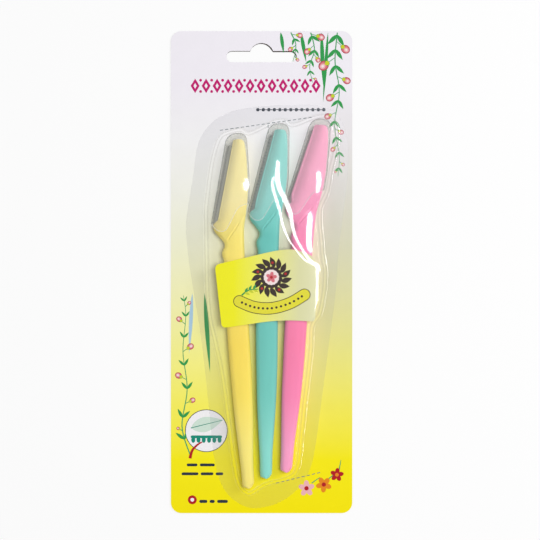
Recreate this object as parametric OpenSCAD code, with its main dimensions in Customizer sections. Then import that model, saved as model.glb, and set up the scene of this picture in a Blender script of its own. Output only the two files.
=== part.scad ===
// Blister pack of three eyebrow razors on a hang card, lying on its back.
// X runs across the card, Y up the card and Z toward whoever reads its front.
// The origin is the middle of the card's back face.

/* [Card] */
// Width of the hang card
card_w = 77.5; // [76:0.5:84]
// Height of the hang card
card_h = 206; // [205:1:216]
// Thickness of the card's board
card_t = 0.5; // [0.3:0.05:0.8]
// Corner radius of the card
card_r = 4.5; // [2:0.5:8]
// Width of the hang slot over its round ends
slot_w = 30; // [24:0.5:34]
// Height of the hang slot's bar
slot_h = 4.8; // [4.4:0.1:6]
// Width of the arch over the bar
arch_w = 9.8; // [8:0.1:12]
// Rise of the arch above the bar
arch_h = 3.4; // [2.6:0.1:4]
// From the card's top edge down to the middle of the bar
slot_drop = 10.9; // [9:0.1:13]

/* [Blister] */
// Thickness of the formed film
film_t = 0.4; // [0.25:0.05:0.5]
// Height of the dome above the card
dome_h = 8.6; // [8.2:0.1:11]
// How far the wall leans in up to the shoulder
wall_lean_in = 1.1; // [0.8:0.1:1.3]
// Radius of the shoulder between wall and roof
shoulder_r = 1.6; // [1:0.1:1.8]
// Width of the seal where it is widest
seal_w = 9; // [8:0.5:10]

/* [Insert] */
// Width of the insert card over the razors
insert_w = 43.5; // [40:0.5:45]
// Height of the insert card
insert_h = 28; // [24:0.5:30]
// Thickness of the insert card
insert_t = 0.3; // [0.2:0.05:0.5]
// How far the insert's right end stands out past the pink grip
insert_over = 3.7; // [3.2:0.1:4]
// Radius that the insert's right end is bent to
bend_r = 14; // [10:1:24]
// Length of the bent right end
bend_l = 4; // [3:0.5:5]

/* [Handle] */
// Length of the moulded handle with its head
body_l = 148.6; // [142:0.2:150]
// Width of the grip at its widest
grip_w = 9.6; // [9:0.1:10.2]
// Thickness of the grip
grip_t = 5.6; // [5.2:0.1:5.8]
// Thickness of the head that holds the blade
head_t = 3.2; // [2.8:0.1:3.4]
// Rounding of the grip's long edges
edge_r = 1.3; // [0.8:0.1:1.6]
// Rounding at the top of the head
crown_r = 0.6; // [0.4:0.1:1]
// Steepness of the step from grip to head, from level across
step_slant = 52; // [48:1:56]
// Length of the ramp of that step
ramp_l = 1.8; // [1.2:0.1:2]
// How far the head reaches past the end of the blade
head_over = 2.6; // [2.2:0.1:3.2]

/* [Blade] */
// Length of the blade
blade_l = 34; // [32:0.2:34.4]
// Thickness of the blade
blade_t = 0.25; // [0.2:0.05:0.3]
// How far the edge stands out of the head
blade_out = 1.6; // [1.2:0.1:1.8]
// How deep the blade sits in the head
blade_in = 4.2; // [3.6:0.1:4.4]
// Lean of the edge from the handle's own line
blade_lean = 14.9; // [14.2:0.1:15.6]
// Width of the ground bevel
bevel_w = 0.8; // [0.5:0.1:1]
// Flat left at the ground edge
edge_t = 0.03; // [0.02:0.01:0.05]
// Diameter of the pins that hold the blade
pin_d = 1.5; // [1.2:0.1:1.8]

/* [Guard] */
// Thickness of the guard's sheet steel
guard_t = 0.15; // [0.1:0.05:0.2]
// How far the guard reaches into the head
guard_in = 0.8; // [0.6:0.1:1]
// Width of one guard tooth
tooth_w = 0.5; // [0.4:0.05:0.7]
// Opening between two teeth
tooth_gap = 0.9; // [0.7:0.05:1.1]
// Depth of the openings from the edge
tooth_l = 0.9; // [0.7:0.05:1]

/* [Cap] */
// Wall of the clear cap
cap_wall = 0.5; // [0.45:0.05:0.6]
// Clearance between cap and head
cap_gap = 0.2; // [0.2:0.05:0.3]
// Room between the crown of the head and the cap
cap_room = 2.2; // [1.8:0.1:2.4]
// Rounding of the cap's outer edges
cap_edge_r = 0.5; // [0.35:0.05:0.6]
// How far the cap stands further from the blade at its closed end than at its mouth
cap_flare = 0.8; // [0.5:0.1:1]
// Share of the inside's closed end that its round corner by the tip of the blade takes
cap_tip_share = 0.52; // [0.42:0.02:0.54]
// Share of it that the other round corner takes, over the back of the head
cap_crown_share = 0.44; // [0.36:0.02:0.46]

/* [Fan] */
// Teal razor's lower tip across the pack
teal_x = 2; // [1.6:0.1:2.6]
// Teal razor's lower tip up the pack
teal_y = -87.9; // [-89:0.1:-87]
// Teal razor's lean to the right
teal_lean = 0.1; // [0:0.1:0.6]
// From the yellow razor's lower tip across to the teal one's
yellow_step = 7.4; // [7:0.1:8]
// How far the yellow razor's lower tip lies below the teal one's
yellow_drop = 4.2; // [3:0.1:5]
// From the teal razor's lower tip across to the pink one's
pink_step = 8.5; // [8.2:0.1:9]
// How far the pink razor's lower tip lies above the teal one's
pink_rise = 2.6; // [2:0.1:3.4]

/* [Clearances] */
// Gap under and over the loose pieces in the pack
seat_gap = 0.3; // [0.2:0.05:0.4]
// Gap between one razor's cap and the next, where they come closest
next_gap = 0.3; // [0.3:0.05:0.6]
// Gap around blade and guard in their slots
fit = 0.05; // [0.03:0.01:0.08]
// Gap between a pin and its hole
pin_fit = 0.1; // [0.05:0.05:0.15]

/* [Hidden] */

// How far a cut runs past the face that it goes through
overrun = 0.5;
// Facets of the true circles
$fn = 48;

// Outline points are shares of the grip's width across. Up the razor they are shares of the
// body's length, where the head takes what lies above heel_up_share.
heel_up_share = 0.773;
// Left edge from the lower tip to the heel of the blade, as [up, across]
left_shares = [
    [0, -0.04], [0.003, -0.17], [0.011, -0.27], [0.057, -0.29], [0.135, -0.35],
    [0.217, -0.42], [0.276, -0.44], [0.338, -0.46], [0.43, -0.48], [0.538, -0.45],
    [0.606, -0.42], [0.646, -0.395], [0.657, -0.41], [0.672, -0.46], [0.682, -0.44],
    [0.69, -0.365], [0.697, -0.325], [0.707, -0.345], [0.718, -0.46], [0.727, -0.56],
    [0.734, -0.66], [0.743, -0.735], [0.754, -0.765], [0.764, -0.72], [0.773, -0.54]
];
// Right edge from the lower tip to the height of the heel, as [up, across]
right_shares = [
    [0, 0.05], [0.003, 0.13], [0.011, 0.21], [0.02, 0.25], [0.077, 0.275],
    [0.135, 0.34], [0.217, 0.43], [0.276, 0.465], [0.338, 0.49], [0.43, 0.5],
    [0.538, 0.52], [0.606, 0.525], [0.657, 0.535], [0.727, 0.575], [0.755, 0.625],
    [0.773, 0.685]
];
// Width of the head from the blade's line to its right edge, as [up, across]
head_shares = [
    [0.773, 1.225], [0.798, 1.195], [0.821, 1.17], [0.856, 1.088], [0.875, 1.025],
    [0.898, 0.94], [0.938, 0.783], [0.962, 0.674], [0.972, 0.625], [0.978, 0.592],
    [0.987, 0.539], [0.995, 0.457], [0.999, 0.373], [1, 0.29]
];
// Thickness of the grip from the lower tip up, as [up, share of its thickness]
depth_shares = [[0, 0.55], [0.003, 0.68], [0.011, 0.8], [0.057, 0.92], [0.135, 1], [1, 1]];
// The most that a section's round corners take of its half width and height
corner_share = 0.9;
// Where the handle has a section
station_shares = [
    0, 0.003, 0.011, 0.02, 0.057, 0.095, 0.135, 0.175, 0.217, 0.276, 0.338, 0.43,
    0.538, 0.606, 0.646, 0.657, 0.665, 0.672, 0.682, 0.69, 0.697, 0.707, 0.718,
    0.727, 0.734, 0.743, 0.754, 0.764, 0.773, 0.798, 0.821, 0.856, 0.875, 0.898,
    0.938, 0.962, 0.978, 0.987, 0.992, 0.995, 0.998, 1
];
// How far the heels of two heads stand apart, without their caps and the guard
head_step_share = 1.262;
// Where the step from grip to head crosses the handle, as [across, up]
step_shares = [-0.208, 0.709];
// The cap's mouth from left to right, as [across, up]
mouth_shares = [
    [-1.3, 0.772], [-0.84, 0.764], [-0.68, 0.749], [-0.54, 0.742], [-0.36, 0.74],
    [-0.2, 0.745], [-0.07, 0.756], [0.07, 0.772], [0.22, 0.788], [0.38, 0.803],
    [0.58, 0.81], [0.8, 0.814], [1.15, 0.814]
];
// Where the cap's right wall follows the head
cap_right_shares = [0.76, 0.798, 0.821, 0.856, 0.898, 0.938];
// Where the pins stand along the blade
pin_shares = [0.25, 0.75];
// The blade's lower end below the heel of the head, as a share of its length
heel_share = 0.05;

// Middle of the insert card up the teal razor
insert_up_share = 0.544;
// Round the blister's dome: [razor, across, up, width of the seal there], where across is from
// the razor's own line, and above the heel from the blade's. The rows of number 3 follow the
// insert card, in shares of its own width and height.
dome_shares = [
    [0, -1.163, 1.018, 0.86], [0, -1.34, 0.988, 0.86], [0, -1.385, 0.95, 0.78],
    [0, -1.371, 0.905, 0.7], [0, -1.317, 0.856, 0.74], [0, -1.263, 0.811, 0.79],
    [0, -1.18, 0.781, 0.86], [0, -1.178, 0.741, 0.92], [3, -0.597, 0.425, 0.78],
    [3, -0.59, -0.025, 0.58], [3, -0.56, -0.475, 0.48], [0, -1.137, 0.436, 0.54],
    [0, -0.91, 0.33, 0.72], [0, -0.774, 0.2, 0.78], [0, -0.677, 0.09, 0.84], [0, -0.5, 0.012, 1],
    [0, -0.001, -0.02, 0.98], [1, -0.001, -0.022, 1], [2, 0.152, -0.02, 0.8],
    [2, 0.552, 0.01, 0.7], [2, 0.673, 0.1, 0.6], [2, 0.814, 0.205, 0.59], [2, 0.916, 0.31, 0.6],
    [2, 0.977, 0.411, 0.62], [2, 1.197, 0.461, 0.48], [2, 1.298, 0.521, 0.43],
    [2, 1.279, 0.581, 0.46], [2, 1.099, 0.633, 0.62], [2, 1.04, 0.681, 0.74],
    [2, 1.1, 0.731, 0.74], [2, 1.287, 0.776, 0.58], [2, 1.283, 0.821, 0.43],
    [2, 1.077, 0.881, 0.42], [2, 0.791, 0.94, 0.43], [2, 0.364, 1, 0.43],
    [2, -0.141, 1.028, 0.42], [2, -0.551, 1.03, 0.48], [2, -0.966, 1.021, 0.66],
    [1, 0.138, 1.018, 0.88], [1, -0.197, 1.029, 0.72], [1, -0.607, 1.03, 0.72],
    [1, -0.969, 1.02, 0.86], [0, 0.093, 1.02, 1.16], [0, -0.223, 1.03, 1], [0, -0.631, 1.03, 0.9]
];
// How far the dome's side stays from the yellow razor's line beside the insert card
dome_side_share = 1.1;
// The insert card's corners, as [across, up, rounding] in shares of its own size
insert_shares = [
    [-0.497, 0.364, 0.05], [-0.428, -0.596, 0.05], [0.15, -0.464, 0.2],
    [0.48, -0.496, 0.04], [0.515, 0.232, 0.08], [0.475, 0.5, 0.08],
    [0.27, 0.607, 0.07], [0.1, 0.582, 0.09]
];

// The head, and its heel, where the blade's line starts
head_l = blade_l * (1 - heel_share) * cos(blade_lean) + head_over;
heel_v = body_l - head_l;
guard_out = blade_out + fit + guard_t;
cap_t = head_t + 2 * (cap_gap + cap_wall);
left_edge = [for (s = left_shares) [up(s[0]), s[1] * grip_w]];
heel_u = left_edge[len(left_edge) - 1][1];
right_edge = [for (s = right_shares) [up(s[0]), s[1] * grip_w]];
head_widths = [for (s = head_shares) [up(s[0]), s[1] * grip_w]];
depths = [for (s = depth_shares) [up(s[0]), s[1] * grip_t]];
mouth_low = up(min([for (s = mouth_shares) s[1]]));

// The fan: yellow, teal and pink. The heels of two heads stand head_step apart across.
head_step = head_step_share * grip_w + guard_out + 2 * (cap_gap + cap_wall) + next_gap;
tips = [
    [teal_x - yellow_step, teal_y - yellow_drop],
    [teal_x, teal_y],
    [teal_x + pink_step, teal_y + pink_rise]
];
leans = [
    teal_lean - asin((head_step - yellow_step) / heel_v),
    teal_lean,
    teal_lean + asin((head_step - pink_step) / heel_v)
];
plastics = ["#F4DC6C", "#57B5A8", "#FA8FBE"];
razor_z = card_t + seat_gap + grip_t / 2;
insert_z = razor_z + grip_t / 2 + seat_gap;

// The insert card's middle
insert_y = teal_y + up(insert_up_share);
pink_v = (insert_y - tips[2][1]) / cos(leans[2]);
insert_x = spot(2, right_u(pink_v), pink_v)[0] + insert_over
    - max([for (s = insert_shares) s[0]]) * insert_w;

function unit(v) = v / norm(v);
// The height up the razor of a share of its length
function up(s) = s < heel_up_share ? s / heel_up_share * heel_v
    : body_l - (1 - s) / (1 - heel_up_share) * head_l;
function blade_u(v) = heel_u + (v - heel_v) * tan(blade_lean);
function left_u(v) = v < heel_v ? lookup(v, left_edge) : blade_u(v) + crown(v);
function right_u(v) = v < heel_v ? lookup(v, right_edge) : blade_u(v) + lookup(v, head_widths);
function crown(v) = let(r = max(0, v - body_l + crown_r)) crown_r - sqrt(max(0, crown_r ^ 2 - r ^ 2));

// A point of razor k in the pack
function spot(k, u, v) = [
    tips[k][0] + u * cos(leans[k]) + v * sin(leans[k]),
    tips[k][1] - u * sin(leans[k]) + v * cos(leans[k])
];
// A point of the insert card, in shares of its width and height from its middle
function on_insert(across, along) = [insert_x + across * insert_w, insert_y + along * insert_h];
// A point in the blade's frame, which starts at the heel, in the razor's own frame
function blade_spot(x, y) = [
    heel_u + x * sin(blade_lean) - y * cos(blade_lean),
    heel_v + x * cos(blade_lean) + y * sin(blade_lean)
];

// A closed smooth line through the points, with n steps between two of them
function smooth(p, n) = let(m = len(p)) [
    for (i = [0 : m - 1], j = [0 : n - 1])
        bend(p[(i + m - 1) % m], p[i], p[(i + 1) % m], p[(i + 2) % m], j / n)
];
// An open one
function smooth_open(p, n) = let(m = len(p) - 1) concat([
    for (i = [0 : m - 1], j = [0 : n - 1])
        bend(p[max(i - 1, 0)], p[i], p[i + 1], p[min(i + 2, m)], j / n)
], [p[m]]);
function bend(a, b, c, d, t) = (2 * b + (c - a) * t + (2 * a - 5 * b + 4 * c - d) * t ^ 2
    + (3 * b - a - 3 * c + d) * t ^ 3) / 2;
// An outline that runs anticlockwise, moved out by d
function grow(p, d) = let(m = len(p)) [
    for (i = [0 : m - 1])
        let(along = unit(p[(i + 1) % m] - p[(i + m - 1) % m])) p[i] + d * [along[1], -along[0]]
];
// A corner at b, rounded over the length r of both its sides
function corner(a, b, c, r) = let(p = b + r * unit(a - b), q = b + r * unit(c - b)) [
    for (t = [0 : 0.125 : 1]) (1 - t) ^ 2 * p + 2 * t * (1 - t) * b + t ^ 2 * q
];
// A closed outline with its waves evened out n times
function relax(p, n) = let(m = len(p)) n == 0 ? p : relax([
    for (i = [0 : m - 1]) (p[(i + m - 1) % m] + 2 * p[i] + p[(i + 1) % m]) / 4
], n - 1);
function lift(p, z) = [for (q = p) [q[0], q[1], z]];

// A solid through closed rings of points, all of one length
module skin(rings) {
    n = len(rings[0]);
    m = len(rings);
    points = [for (ring = rings, p = ring) p];
    sides = [
        for (k = [0 : m - 2], i = [0 : n - 1])
            let(a = k * n + i, b = k * n + (i + 1) % n)
                for (f = [[a, a + n, b + n], [a, b + n, b]]) f
    ];
    first = [for (i = [0 : n - 1]) i];
    last = [for (i = [n - 1 : -1 : 0]) (m - 1) * n + i];
    polyhedron(points, concat([first], sides, [last]), convexity = 6);
}

module in_razor(k) {
    translate([tips[k][0], tips[k][1], razor_z]) rotate(-leans[k]) children();
}

module at_blade() {
    translate([heel_u, heel_v, 0]) rotate(90 - blade_lean) children();
}

// A bar along the blade with the section [across the blade, through it]
module along_blade(from, to, section) {
    translate([from, 0, 0]) rotate([90, 0, 90]) linear_extrude(to - from) polygon(section);
}

// The hang card: printed board with the slot for a shop peg
module hang_card() {
    color("#E9E9D8") linear_extrude(card_t) difference() {
        union() {
            square([card_w - 2 * card_r, card_h], center = true);
            square([card_w, card_h - 2 * card_r], center = true);
            for (x = [-1, 1], y = [-1, 1])
                translate([x * (card_w / 2 - card_r), y * (card_h / 2 - card_r)]) circle(card_r);
        }
        translate([0, card_h / 2 - slot_drop]) hang_slot();
    }
}

module hang_slot() {
    straight = slot_w - slot_h;
    arch_r = ((arch_w / 2) ^ 2 + arch_h ^ 2) / (2 * arch_h);
    square([straight, slot_h], center = true);
    for (x = [-1, 1]) translate([x * straight / 2, 0]) circle(slot_h / 2);
    intersection() {
        translate([0, slot_h / 2 + arch_h - arch_r]) circle(arch_r);
        translate([-arch_w / 2, 0]) square([arch_w, slot_h / 2 + arch_h]);
    }
}

// The dome's side by razor k, and by the insert card and the yellow grip under it
function by_razor(k, across, v) = spot(k, across * grip_w + max(0, v - heel_v) * tan(blade_lean), v);
function by_insert(across, along) = let(p = on_insert(across, along))
    [min(p[0], by_razor(0, -dome_side_share, (p[1] - tips[0][1]) / cos(leans[0]))[0]), p[1]];

// Rings up the dome's wall and round its shoulder, h high
function dome_rings(outline, foot, h) = concat([lift(outline, foot)], [
    for (a = [0 : 30 : 90])
        lift(
            grow(outline, -wall_lean_in - shoulder_r * (1 - cos(a))),
            h - shoulder_r + shoulder_r * sin(a)
        )
]);
function flip(rings) = [for (i = [len(rings) - 1 : -1 : 0]) rings[i]];

// The blister: clear film with a dome over the razors and a seal all round it
module blister() {
    ring = [for (s = dome_shares) s[0] == 3 ? by_insert(s[1], s[2]) : by_razor(s[0], s[1], up(s[2]))];
    m = len(ring);
    outline = smooth(ring, 3);
    seal = smooth(relax([
        for (i = [0 : m - 1])
            let(along = unit(ring[(i + 1) % m] - ring[(i + m - 1) % m]))
                ring[i] + dome_shares[i][3] * seal_w * [along[1], -along[0]]
    ], 1), 3);
    color("#E6EAEA", 0.4) translate([0, 0, card_t]) skin(concat(
        flip(dome_rings(grow(outline, -film_t), 0, dome_h - film_t)),
        [lift(seal, 0), lift(seal, film_t)],
        dome_rings(outline, film_t, dome_h)
    ));
}

// The insert card: a small printed card over the grips, its right end bent down
module insert_card() {
    m = len(insert_shares);
    p = [for (s = insert_shares) on_insert(s[0], s[1])];
    outline = [
        for (i = [0 : m - 1])
            for (q = corner(p[(i + m - 1) % m], p[i], p[(i + 1) % m], insert_shares[i][2] * insert_w)) q
    ];
    bend_x = insert_x + max([for (s = insert_shares) s[0]]) * insert_w - bend_l;
    turn = bend_l / bend_r * 180 / PI;
    band = concat(
        [[bend_x - insert_w, 0]],
        [for (a = [0 : turn / 4 : turn]) [bend_x + bend_r * sin(a), bend_r * (cos(a) - 1)]],
        [
            for (a = [turn : -turn / 4 : 0])
                [bend_x + (bend_r + insert_t) * sin(a), insert_t + (bend_r + insert_t) * (cos(a) - 1)]
        ],
        [[bend_x - insert_w, insert_t]]
    );
    color("#E8E03C") translate([0, 0, insert_z]) intersection() {
        translate([0, 0, -bend_r]) linear_extrude(2 * bend_r) polygon(outline);
        translate([0, insert_y + insert_h, 0]) rotate([90, 0, 0]) linear_extrude(2 * insert_h) polygon(band);
    }
}

// A section of the handle at v: a rectangle with rounded corners
function section(v) = let(
    l = left_u(v), r = right_u(v), half = (r - l) / 2, mid = (r + l) / 2, t = lookup(v, depths) / 2,
    e = min(edge_r, corner_share * half, corner_share * t)
) [
    for (k = [0 : 3], a = [90 * k : 45 : 90 * k + 90])
        [
            mid + (k < 2 ? 1 : -1) * (half - e) + e * sin(a),
            v,
            (k == 0 || k == 3 ? 1 : -1) * (t - e) + e * cos(a)
        ]
];

// What is taken off the front to bring the grip down to the head
module step_cut() {
    drop = (grip_t - head_t) / 2;
    far = body_l;
    translate([step_shares[0] * grip_w, up(step_shares[1]), 0]) rotate(step_slant)
        translate([-far / 2, 0, 0]) rotate([90, 0, 90]) linear_extrude(far) polygon([
            [-overrun * ramp_l / drop, grip_t / 2 + overrun],
            [ramp_l, head_t / 2],
            [far, head_t / 2],
            [far, grip_t / 2 + overrun]
        ]);
}

// The handle: one moulding from the tip to the head, slotted for blade and guard
module handle(k) {
    blade_end = blade_l * (1 - heel_share);
    blade_half = blade_t / 2 + fit;
    guard_half = blade_half + guard_t + fit;
    color(plastics[k]) in_razor(k) {
        difference() {
            skin([for (s = station_shares) section(up(s))]);
            step_cut();
            mirror([0, 0, 1]) step_cut();
            at_blade() {
                slot(-heel_share * blade_l - fit, blade_end + fit, -blade_in - fit, blade_half);
                slot(0, blade_end + fit, -guard_in - fit, guard_half);
            }
        }
        at_blade() for (s = pin_shares)
            translate([blade_x(s), -blade_in / 2, 0]) cylinder(h = head_t / 2, d = pin_d, center = true);
    }
}

function blade_x(s) = blade_l * (s - heel_share);

// A slot in the head, open past the blade's edge
module slot(from, to, deep, half) {
    mouth = blade_out + overrun;
    along_blade(from, to, [[deep, -half], [mouth, -half], [mouth, half], [deep, half]]);
}

// The blade: hardened steel, ground to its edge on both faces
module blade(k) {
    half = blade_t / 2;
    color("#C9CCCB") in_razor(k) at_blade() difference() {
        along_blade(-heel_share * blade_l, blade_l * (1 - heel_share), [
            [-blade_in, -half], [blade_out - bevel_w, -half], [blade_out, -edge_t / 2],
            [blade_out, edge_t / 2], [blade_out - bevel_w, half], [-blade_in, half]
        ]);
        for (s = pin_shares) translate([blade_x(s), -blade_in / 2, 0])
            cylinder(h = head_t, d = pin_d + 2 * pin_fit, center = true);
    }
}

// The guard: thin steel folded over the edge, with openings that leave a comb of teeth
module guard(k) {
    from = guard_in / 2;
    to = blade_l * (1 - heel_share) - guard_in / 2;
    inner = blade_t / 2 + fit;
    outer = inner + guard_t;
    pitch = tooth_w + tooth_gap;
    count = floor((to - from - tooth_w) / pitch);
    first = (from + to + tooth_w - count * pitch) / 2;
    color("#A9ABA8") in_razor(k) at_blade() difference() {
        along_blade(from, to, [
            [-guard_in, -outer], [guard_out, -outer], [guard_out, outer], [-guard_in, outer],
            [-guard_in, inner], [blade_out + fit, inner], [blade_out + fit, -inner], [-guard_in, -inner]
        ]);
        for (i = [0 : count - 1])
            translate([first + i * pitch, blade_out - tooth_l, -outer - overrun])
                cube([tooth_gap, tooth_l + fit + guard_t + overrun, 2 * (outer + overrun)]);
    }
}

// The point at the height v on the line that runs beside the blade, at y from it
function beside_blade(v, y) = blade_spot((v - heel_v - y * sin(blade_lean)) / cos(blade_lean), y);

// The inside of the cap, in the razor's own frame, and anticlockwise
function cap_inside() = let(
    side = guard_out + cap_gap,
    top = body_l + cap_room,
    low = beside_blade(mouth_low - cap_wall, side),
    left = beside_blade(top, side + cap_flare),
    right = [
        for (s = cap_right_shares)
            [right_u(up(s)) + cap_gap, up(s) + cap_room * max(0, (up(s) - heel_v) / head_l) ^ 2]
    ],
    wall = right[len(right) - 1],
    back = [wall[0], top],
    end = norm(back - left)
) concat(
    [low, [right[0][0], low[1]]], right,
    corner(wall, back, left, cap_crown_share * end), corner(back, left, low, cap_tip_share * end)
);

// The cap: a clear moulded sheath with an S-shaped mouth
module cap(k) {
    inside = cap_inside();
    mouth = smooth_open([for (s = mouth_shares) [s[0] * grip_w, up(s[1])]], 3);
    below = mouth_low - 2 * cap_wall - overrun;
    color("#D9DEDD", 0.5) in_razor(k) difference() {
        skin([
            for (side = [-1, 1], a = side < 0 ? [90 : -30 : 0] : [0 : 30 : 90])
                lift(
                    grow(inside, cap_wall - cap_edge_r * (1 - cos(a))),
                    side * (cap_t / 2 - cap_edge_r * (1 - sin(a)))
                )
        ]);
        linear_extrude(head_t + 2 * cap_gap, center = true) polygon(inside);
        linear_extrude(cap_t + 2 * overrun, center = true)
            polygon(concat([[mouth[0][0], below]], [[mouth[len(mouth) - 1][0], below]],
                [for (i = [len(mouth) - 1 : -1 : 0]) mouth[i]]));
    }
}

hang_card();
blister();
insert_card();
handle(0);  // yellow_handle
blade(0);  // yellow_blade
guard(0);  // yellow_guard
cap(0);  // yellow_cap
handle(1);  // teal_handle
blade(1);  // teal_blade
guard(1);  // teal_guard
cap(1);  // teal_cap
handle(2);  // pink_handle
blade(2);  // pink_blade
guard(2);  // pink_guard
cap(2);  // pink_cap
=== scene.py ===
import math

import bpy
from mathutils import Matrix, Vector, geometry


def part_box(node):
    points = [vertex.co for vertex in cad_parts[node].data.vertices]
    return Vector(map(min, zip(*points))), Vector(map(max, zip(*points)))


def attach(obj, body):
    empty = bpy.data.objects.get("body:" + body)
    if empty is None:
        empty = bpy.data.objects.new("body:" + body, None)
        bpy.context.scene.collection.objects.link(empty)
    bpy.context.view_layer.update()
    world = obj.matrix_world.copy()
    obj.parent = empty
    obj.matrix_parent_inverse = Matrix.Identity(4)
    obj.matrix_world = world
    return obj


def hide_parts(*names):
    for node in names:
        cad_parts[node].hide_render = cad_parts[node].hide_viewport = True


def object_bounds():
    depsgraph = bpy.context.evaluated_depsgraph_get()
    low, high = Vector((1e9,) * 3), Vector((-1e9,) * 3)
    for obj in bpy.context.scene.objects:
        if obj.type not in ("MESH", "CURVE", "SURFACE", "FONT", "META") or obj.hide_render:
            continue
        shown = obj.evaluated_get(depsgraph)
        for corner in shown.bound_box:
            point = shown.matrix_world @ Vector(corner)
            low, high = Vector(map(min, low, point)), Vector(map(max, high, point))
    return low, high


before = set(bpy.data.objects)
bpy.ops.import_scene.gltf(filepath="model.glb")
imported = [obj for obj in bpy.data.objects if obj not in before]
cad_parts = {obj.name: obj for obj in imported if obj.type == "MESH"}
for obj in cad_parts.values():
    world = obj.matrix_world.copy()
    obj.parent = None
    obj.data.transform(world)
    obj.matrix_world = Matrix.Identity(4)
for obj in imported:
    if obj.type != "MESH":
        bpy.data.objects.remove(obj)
CAD_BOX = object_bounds()

# The hang card: one sheet of white-lined board, offset printed on its front and varnished, then
# die cut with its hang slot. The print fades from white at the top to yellow at the bottom, and a
# painted shade darkens its right side, most beside the dome. The back is bare grey board, and the
# cut edge shows the grey core.
MM = 0.001
CARD_LOW, CARD_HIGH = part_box("hang_card")
CARD_FRONT = CARD_HIGH.z
FADE_TOP = 80 * MM
FADE_HEX = [
    "#F7E600", "#F7EB14", "#F7EF5F", "#F5F18F", "#F2F0B5", "#EFEFD1", "#F1F1E7", "#F3F2F3", "#F1EDF4",
]
# A painted shade over the card's right side: where it starts and where it is full, across the card, and its
# grey tones from the bottom of the fade to its top.
SHADE_FROM_X, SHADE_TO_X = 17 * MM, 31 * MM
RIGHT_PAINTED_SHADE = [
    (0.06, "#FFFFFF"), (0.2, "#FCFBF8"), (0.32, "#F6F6F2"), (0.41, "#F0F0EC"), (0.51, "#EBEBE8"),
    (0.63, "#E6E6E3"), (0.72, "#E7E6E4"), (0.84, "#EEEDED"), (0.92, "#F5F4F4"), (1.0, "#FEFEFE"),
]
BARE_BOARD_HEX = "#B9B4A8"
BOARD_CORE_HEX = "#8F8A80"


def colour(hex_code):
    """The linear colour of an sRGB hex value."""
    parts = [int(hex_code[i : i + 2], 16) / 255 for i in (1, 3, 5)]
    return tuple(c / 12.92 if c <= 0.04045 else ((c + 0.055) / 1.055) ** 2.4 for c in parts) + (1.0,)


def add(tree, kind, sockets=None, stops=(), **settings):
    """Adds a node. sockets gives each input, by name or number, its value or what is linked to it:
    an output, or a node for its first output. stops are those of a colour ramp, as (place, hex)."""
    node = tree.nodes.new(kind)
    for key, value in settings.items():
        setattr(node, key, value)
    for key, value in (sockets or {}).items():
        if isinstance(value, bpy.types.Node):
            value = value.outputs[0]
        if isinstance(value, bpy.types.NodeSocket):
            tree.links.new(value, node.inputs[key])
        else:
            node.inputs[key].default_value = value
    if stops:
        points = node.color_ramp.elements
        while len(points) < len(stops):
            points.new(1.0)
        for point, (place, hex_code) in zip(points, stops):
            point.position = place
            point.color = colour(hex_code)
    return node


def new_material(name):
    """An empty node material, with its tree."""
    material = bpy.data.materials.new(name)
    material.use_nodes = True
    material.node_tree.nodes.clear()
    return material, material.node_tree


def printed_board(name, stops, axis, low, high, rough, painted_shade=()):
    """Varnished offset print on board: the colours fade along an axis, and the ink lies a little uneven.
    The varnish gives a soft sheen, and the fibres under it show as a faint grain. When its last argument
    is given, a painted shade darkens the right side towards grey, by the same share along the axis."""
    material, tree = new_material(name)
    place = add(tree, "ShaderNodeTexCoord").outputs["Object"]
    along = add(tree, "ShaderNodeSeparateXYZ", {0: place}).outputs[axis]
    share = add(tree, "ShaderNodeMapRange", {"Value": along, "From Min": low, "From Max": high})
    mottle = add(tree, "ShaderNodeTexNoise", {"Vector": place, "Scale": 1 / (6 * MM), "Detail": 3.0})
    uneven = add(tree, "ShaderNodeMapRange", {"Value": mottle, "To Min": 0.975, "To Max": 1.015})
    print_ink = add(tree, "ShaderNodeValToRGB", {"Fac": share}, stops)
    front = add(tree, "ShaderNodeVectorMath", {0: print_ink, 1: uneven}, operation="MULTIPLY").outputs[0]
    # Painted shade: the right side is darkened towards grey.
    if painted_shade:
        across = add(tree, "ShaderNodeSeparateXYZ", {0: place}).outputs["X"]
        sockets = {"Value": across, "From Min": SHADE_FROM_X, "From Max": SHADE_TO_X}
        near = add(tree, "ShaderNodeMapRange", sockets, interpolation_type="SMOOTHSTEP")
        right_shade = add(tree, "ShaderNodeValToRGB", {"Fac": share}, painted_shade)
        sockets = {"Factor": near, 6: front, 7: right_shade}
        front = add(tree, "ShaderNodeMix", sockets, data_type="RGBA", blend_type="MULTIPLY").outputs[2]
    normal = add(tree, "ShaderNodeNewGeometry").outputs["True Normal"]
    up = add(tree, "ShaderNodeSeparateXYZ", {0: normal}).outputs["Z"]
    is_front = add(tree, "ShaderNodeMath", {0: up, 1: 0.5}, operation="GREATER_THAN")
    is_back = add(tree, "ShaderNodeMath", {0: up, 1: -0.5}, operation="LESS_THAN")
    sockets = {"Factor": is_back, 6: colour(BOARD_CORE_HEX), 7: colour(BARE_BOARD_HEX)}
    bare = add(tree, "ShaderNodeMix", sockets, data_type="RGBA").outputs[2]
    sockets = {"Factor": is_front, 6: bare, 7: front}
    base = add(tree, "ShaderNodeMix", sockets, data_type="RGBA").outputs[2]
    fibres = add(tree, "ShaderNodeTexNoise", {"Vector": place, "Scale": 1 / (0.5 * MM), "Detail": 2.0})
    grain = add(tree, "ShaderNodeBump", {"Height": fibres, "Strength": 0.12, "Distance": 0.02 * MM})
    shader = add(tree, "ShaderNodeBsdfPrincipled", {
        "Base Color": base, "Roughness": rough, "IOR": 1.5, "Specular IOR Level": 0.3, "Normal": grain,
    })
    add(tree, "ShaderNodeOutputMaterial", {"Surface": shader})
    return material


def dress(node, material):
    """Gives a CAD node its material."""
    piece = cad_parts[node]
    piece.data.materials.clear()
    piece.data.materials.append(material)
    return piece


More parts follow.
